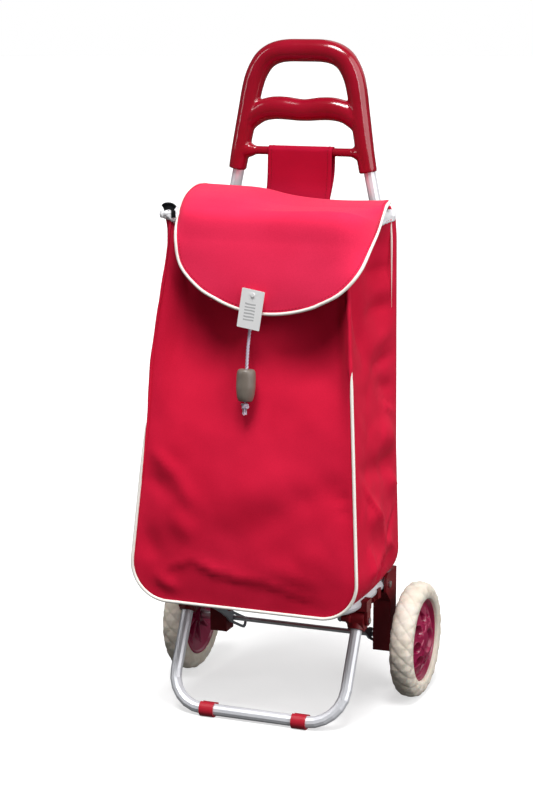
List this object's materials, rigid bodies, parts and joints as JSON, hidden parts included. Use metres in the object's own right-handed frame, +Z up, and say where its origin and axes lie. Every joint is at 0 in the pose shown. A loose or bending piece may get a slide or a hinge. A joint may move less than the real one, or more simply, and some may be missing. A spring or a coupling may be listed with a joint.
{
  "type": "shopping trolley on wheels",
  "caption": "Two-wheeled folding shopping trolley: tube frame with fold-up base and foot, looped handle, hanging fabric bag with a piped flap and toggle cord.",
  "frame": {"origin": "floor point under the middle of the trolley", "axes": "+Z up along the uprights, +X to the right seen from the bag side, -Y to the front, towards the bag"},
  "size_m": [0.3704, 0.3058, 0.8968],
  "materials": {
    "handle": "glossy moulded crimson",
    "tubes": "satin silver paint on steel tube",
    "brackets": "dark burgundy moulded",
    "clips": "bright red moulded",
    "tyres": "cream foam, matt",
    "rims": "raspberry moulded",
    "struts": "grey zinc-plated steel",
    "fasteners": "bright zinc",
    "bag": "woven coated polyester, crimson",
    "flap": "woven coated polyester, crimson",
    "piping": "off-white piping",
    "lining": "pale lining",
    "black_trim": "black",
    "cord": "lilac-grey braid",
    "bead": "taupe grey",
    "tag": "plain white card"
  },
  "bodies": {
    "frame": {"handle": "handle", "handle_screw_left": "fasteners", "handle_screw_right": "fasteners", "upright_left": "tubes", "upright_right": "tubes", "wheel_bracket_left": "brackets", "wheel_bracket_right": "brackets", "bracket_rivet_left": "fasteners", "bracket_rivet_right": "fasteners", "axle": "fasteners", "axle_spacer_left": "fasteners", "axle_spacer_right": "fasteners", "push_nut_left": "fasteners", "push_nut_right": "fasteners", "base_bolt_left": "fasteners", "base_bolt_right": "fasteners", "mouth_hoop": "struts", "hoop_clamp_left": "black_trim", "hoop_clamp_right": "black_trim", "mouth_loop": "black_trim", "mouth_lining": "lining", "bag_front": "bag", "bag_back": "bag", "bag_side_left": "bag", "bag_side_right": "bag", "bag_floor": "bag", "front_piping": "piping", "hanging_strap": "bag", "drawcord": "cord", "cord_eyelet": "fasteners", "cord_knot": "cord"},
    "wheel_left": {"tyre_left": "tyres", "rim_left": "rims", "hub_cap_left": "rims"},
    "wheel_right": {"tyre_right": "tyres", "rim_right": "rims", "hub_cap_right": "rims"},
    "base": {"base_tube": "tubes", "base_board": "black_trim", "front_saddle_left": "brackets", "front_saddle_right": "brackets", "tube_hook_left": "brackets", "tube_hook_right": "brackets", "foot_pin_left": "fasteners", "foot_pin_right": "fasteners"},
    "foot": {"foot_tube": "tubes", "foot_socket_left": "brackets", "foot_socket_right": "brackets", "strut_pin_left": "fasteners", "strut_pin_right": "fasteners", "foot_clip_left": "clips", "foot_clip_right": "clips"},
    "strut_left": {"strut_left": "struts"},
    "strut_right": {"strut_right": "struts"},
    "flap": {"flap": "flap", "flap_piping": "piping", "tag_fastener": "tag"},
    "tag": {"tag": "tag"},
    "toggle": {"toggle_bead": "bead"}
  },
  "joints": [
    {"name": "wheel_left_spin", "type": "hinge", "parent": "frame", "child": "wheel_left", "pos_m": [-0.168, 0.0729, 0.08], "axis": [1, 0, 0], "continuous": true},
    {"name": "wheel_right_spin", "type": "hinge", "parent": "frame", "child": "wheel_right", "pos_m": [0.168, 0.0729, 0.08], "axis": [1, 0, 0], "continuous": true},
    {"name": "base_fold", "type": "hinge", "parent": "frame", "child": "base", "pos_m": [0, 0.0529, 0.161], "axis": [-1, 0, 0], "range_deg": [0, 82], "deforming": ["bag_front", "bag_back", "bag_side_left", "bag_side_right", "bag_floor", "front_piping"]},
    {"name": "foot_fold", "type": "hinge", "parent": "base", "child": "foot", "pos_m": [0, -0.0425, 0.137], "axis": [1, 0, 0], "range_deg": [0, 111]},
    {"name": "strut_left_fold", "type": "hinge", "parent": "foot", "child": "strut_left", "pos_m": [-0.104, -0.0591, 0.142], "axis": [-1, 0, 0], "range_deg": [0, 70]},
    {"name": "strut_right_fold", "type": "hinge", "parent": "foot", "child": "strut_right", "pos_m": [0.104, -0.0591, 0.142], "axis": [-1, 0, 0], "range_deg": [0, 70]},
    {"name": "flap_open", "type": "hinge", "parent": "frame", "child": "flap", "pos_m": [0, 0.0429, 0.697], "axis": [-1, 0, 0], "range_deg": [0, 90]},
    {"name": "tag_swing", "type": "hinge", "parent": "flap", "child": "tag", "pos_m": [0.0107, -0.1399, 0.582], "axis": [0, 1, 0], "range_deg": [-30, 30]},
    {"name": "toggle_slide", "type": "slide", "parent": "frame", "child": "toggle", "axis": [0.0154, 0.1071, 0.9941], "range_m": [0, 0.03]}
  ],
  "couplings": [
    {"joint": "foot_fold", "follows": "base_fold", "ratio": 1.3502},
    {"joint": "strut_left_fold", "follows": "base_fold", "ratio": 0.84804},
    {"joint": "strut_right_fold", "follows": "base_fold", "ratio": 0.84804}
  ]
}
